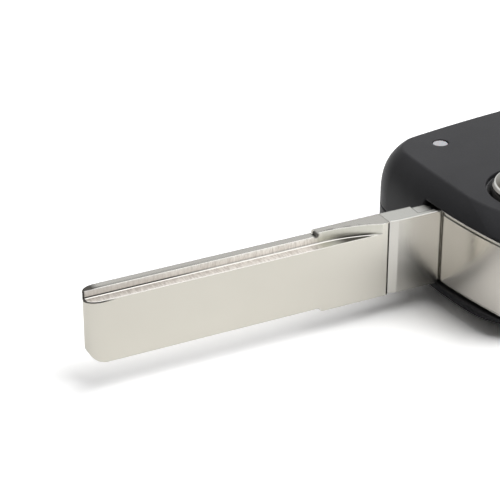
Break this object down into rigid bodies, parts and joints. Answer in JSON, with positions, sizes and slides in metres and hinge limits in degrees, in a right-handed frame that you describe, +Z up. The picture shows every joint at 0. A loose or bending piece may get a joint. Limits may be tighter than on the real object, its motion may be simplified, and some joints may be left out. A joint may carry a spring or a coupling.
{
  "type": "flip key remote shell",
  "caption": "Folding car key shell with a two-track blade on a metal hub, a round release button, remote keys and a slot that the blade folds into.",
  "frame": {"origin": "on the hinge axis, at the flat resting face", "axes": "+X along the housing from the nose to the tail, with the opened blade towards -X; +Z up through the release button; the folded blade lies on the -Y side"},
  "size_m": [0.1226, 0.0345, 0.0166],
  "materials": {
    "black_housing": "satin black, fine grain",
    "gloss_black": "glossy black",
    "white_window": "milky white, smooth",
    "pad_rubber": "matt silicone",
    "key_rubber": "smooth satin rubber",
    "inner_plastic": "moulded, matt",
    "spring_steel": "plain steel",
    "hub_metal": "satin nickel plate",
    "polished_band": "brushed, polished",
    "blade_nickel": "nickel plate, milled tracks",
    "button_chrome": "polished chrome plate"
  },
  "bodies": {
    "case": {"upper_case": "black_housing", "lower_case": "black_housing", "release_collar": "gloss_black", "led_window": "white_window", "button_pad": "pad_rubber", "board_tray": "inner_plastic", "battery_clip_plus": "spring_steel", "battery_clip_minus": "spring_steel", "chip_holder": "inner_plastic", "chip_cover": "inner_plastic", "case_screws": "spring_steel", "ring_pin": "spring_steel", "hub_washer": "spring_steel", "flip_spring": "spring_steel"},
    "hub": {"flip_hub": "hub_metal", "nose_band": "polished_band", "key_blade": "blade_nickel", "blade_pin": "spring_steel"},
    "release": {"release_button": "button_chrome"},
    "lock_key": {"lock_button": "key_rubber"},
    "unlock_key": {"unlock_button": "key_rubber"},
    "trunk_key": {"trunk_button": "key_rubber"}
  },
  "joints": [
    {"name": "blade_flip", "type": "hinge", "parent": "case", "child": "hub", "pos_m": [0, 0, 0], "axis": [0, 0, 1], "range_deg": [0, 180], "stiffness_Nm_per_rad": 0.006, "springref_deg": -45.84},
    {"name": "release_press", "type": "slide", "parent": "case", "child": "release", "axis": [0, 0, -1], "range_m": [0, 0.0012], "stiffness_N_per_m": 1000, "springref_m": -0.002, "deforming": ["flip_spring"]},
    {"name": "lock_press", "type": "slide", "parent": "case", "child": "lock_key", "axis": [0, 0, -1], "range_m": [0, 0.0006], "stiffness_N_per_m": 1500, "springref_m": -0.0003, "deforming": ["button_pad"]},
    {"name": "unlock_press", "type": "slide", "parent": "case", "child": "unlock_key", "axis": [0, 0, -1], "range_m": [0, 0.0006], "stiffness_N_per_m": 1500, "springref_m": -0.0003, "deforming": ["button_pad"]},
    {"name": "trunk_press", "type": "slide", "parent": "case", "child": "trunk_key", "axis": [0, 0, -1], "range_m": [0, 0.0006], "stiffness_N_per_m": 1500, "springref_m": -0.0003, "deforming": ["button_pad"]}
  ]
}
